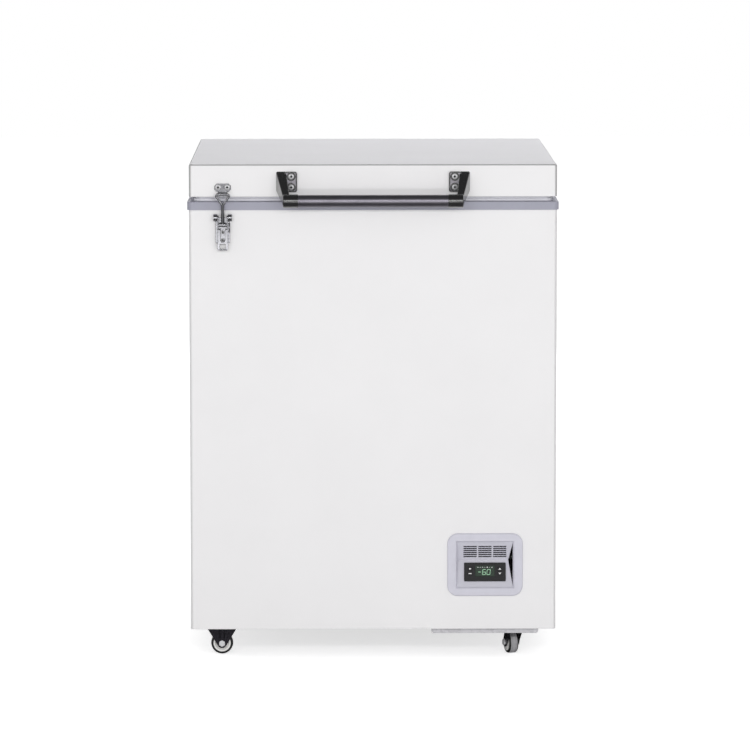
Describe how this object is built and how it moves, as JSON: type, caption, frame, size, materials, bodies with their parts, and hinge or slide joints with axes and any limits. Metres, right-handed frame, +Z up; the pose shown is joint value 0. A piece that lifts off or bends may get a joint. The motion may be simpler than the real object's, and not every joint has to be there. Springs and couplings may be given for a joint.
{
  "type": "chest freezer",
  "caption": "Upright-bodied ultra low temperature chest freezer with a hinged lid, bar handle, toggle latch, recessed control panel and caster wheels.",
  "frame": {"origin": "on the floor under the middle of the bounding box", "axes": "+Z up, the front with the control panel faces -Y, +X to the right seen from the front"},
  "size_m": [0.662, 0.787, 0.8915],
  "materials": {
    "white_paint": "satin",
    "collar_grey": "satin",
    "galvanised": "satin",
    "liner_steel": "satin",
    "foam": "matte",
    "lid_liner_white": "satin",
    "gasket_rubber": "matte",
    "bracket_black": "satin",
    "bar_dark": "gloss",
    "latch_steel": "polished",
    "screw_zinc": "satin",
    "bezel_silver": "satin",
    "controller_black": "satin",
    "display_glass": "gloss",
    "key_black": "matte",
    "fork_steel": "satin",
    "hub_white": "satin",
    "tyre_black": "matte",
    "compressor_black": "satin",
    "copper": "satin",
    "aluminium_fin": "satin",
    "fan_plastic": "matte",
    "grommet_rubber": "matte"
  },
  "bodies": {
    "cabinet": {"outer_wrapper": "white_paint", "rear_panel": "white_paint", "rear_cover": "white_paint", "base_pan": "galvanised", "compressor_tray": "galvanised", "machine_bulkhead": "galvanised", "cabinet_foam": "foam", "inner_liner": "liner_steel", "top_collar": "collar_grey", "evaporator_coil": "copper", "compressor": "compressor_black", "compressor_grommets": "grommet_rubber", "condenser": "aluminium_fin", "fan_shroud": "galvanised", "fan_motor": "compressor_black", "refrigerant_lines": "copper", "temperature_probe": "liner_steel", "cable_gland": "bracket_black", "control_bezel": "bezel_silver", "controller_module": "controller_black", "display_window": "display_glass", "latch_base": "latch_steel", "latch_pins": "latch_steel", "hinge_housings": "white_paint", "hinge_pins": "screw_zinc", "hinge_springs": "screw_zinc", "cabinet_screws": "screw_zinc", "caster_bolts": "screw_zinc", "rigid_forks": "fork_steel", "swivel_plates": "fork_steel", "rigid_axles": "screw_zinc"},
    "lid": {"lid_shell": "white_paint", "lid_foam": "foam", "lid_liner": "lid_liner_white", "lid_gasket": "gasket_rubber", "handle_bracket_left": "bracket_black", "handle_bracket_right": "bracket_black", "handle_bar": "bar_dark", "latch_keeper": "latch_steel", "hinge_arms": "galvanised", "lid_screws": "screw_zinc"},
    "lever": {"latch_lever": "latch_steel"},
    "bail": {"latch_bail": "latch_steel"},
    "fan": {"condenser_fan": "fan_plastic"},
    "key_up_left": {"key_up_left": "key_black"},
    "key_down_left": {"key_down_left": "key_black"},
    "key_up_right": {"key_up_right": "key_black"},
    "key_down_right": {"key_down_right": "key_black"},
    "swivel_front": {"swivel_fork_front": "fork_steel", "swivel_axle_front": "screw_zinc"},
    "wheel_front_left": {"hub_front_left": "hub_white", "tyre_front_left": "tyre_black"},
    "wheel_front_right": {"hub_front_right": "hub_white", "tyre_front_right": "tyre_black"},
    "swivel_rear": {"swivel_fork_rear": "fork_steel", "swivel_axle_rear": "screw_zinc"},
    "wheel_rear_left": {"hub_rear_left": "hub_white", "tyre_rear_left": "tyre_black"},
    "wheel_rear_right": {"hub_rear_right": "hub_white", "tyre_rear_right": "tyre_black"}
  },
  "joints": [
    {"name": "lid_hinge", "type": "hinge", "parent": "cabinet", "child": "lid", "pos_m": [0, 0.3775, 0.8295], "axis": [-1, 0, 0], "range_deg": [0, 85], "deforming": ["hinge_springs"]},
    {"name": "latch_lever_turn", "type": "hinge", "parent": "cabinet", "child": "lever", "pos_m": [-0.2675, -0.343, 0.797], "axis": [-1, 0, 0], "range_deg": [0, 120]},
    {"name": "latch_bail_swing", "type": "hinge", "parent": "lever", "child": "bail", "pos_m": [-0.2675, -0.342, 0.784], "axis": [1, 0, 0], "range_deg": [0, 140]},
    {"name": "fan_spin", "type": "hinge", "parent": "cabinet", "child": "fan", "pos_m": [0.208, -0.1815, 0.152], "axis": [0, 1, 0], "continuous": true},
    {"name": "key_up_left_press", "type": "slide", "parent": "cabinet", "child": "key_up_left", "axis": [0, 0.9824, -0.1869], "range_m": [0, 0.0006], "stiffness_N_per_m": 400},
    {"name": "key_down_left_press", "type": "slide", "parent": "cabinet", "child": "key_down_left", "axis": [0, 0.9824, -0.1869], "range_m": [0, 0.0006], "stiffness_N_per_m": 400},
    {"name": "key_up_right_press", "type": "slide", "parent": "cabinet", "child": "key_up_right", "axis": [0, 0.9824, -0.1869], "range_m": [0, 0.0006], "stiffness_N_per_m": 400},
    {"name": "key_down_right_press", "type": "slide", "parent": "cabinet", "child": "key_down_right", "axis": [0, 0.9824, -0.1869], "range_m": [0, 0.0006], "stiffness_N_per_m": 400},
    {"name": "swivel_front_turn", "type": "hinge", "parent": "cabinet", "child": "swivel_front", "pos_m": [0.2544, -0.2928, 0.044], "axis": [0, 0, 1], "continuous": true},
    {"name": "wheel_front_right_roll", "type": "hinge", "parent": "swivel_front", "child": "wheel_front_right", "pos_m": [0.25001, -0.27846, 0.02], "axis": [0.9563, 0.2924, 0], "continuous": true},
    {"name": "wheel_front_left_roll", "type": "hinge", "parent": "cabinet", "child": "wheel_front_left", "pos_m": [-0.2735, -0.2785, 0.02], "axis": [0, 1, 0], "continuous": true},
    {"name": "swivel_rear_turn", "type": "hinge", "parent": "cabinet", "child": "swivel_rear", "pos_m": [0.2544, 0.3198, 0.044], "axis": [0, 0, 1], "continuous": true},
    {"name": "wheel_rear_right_roll", "type": "hinge", "parent": "swivel_rear", "child": "wheel_rear_right", "pos_m": [0.263, 0.33209, 0.02], "axis": [0.8192, -0.5736, 0], "continuous": true},
    {"name": "wheel_rear_left_roll", "type": "hinge", "parent": "cabinet", "child": "wheel_rear_left", "pos_m": [-0.2735, 0.3055, 0.02], "axis": [0, 1, 0], "continuous": true}
  ],
  "couplings": [
    {"joint": "latch_bail_swing", "follows": "latch_lever_turn", "ratio": 1.15}
  ]
}
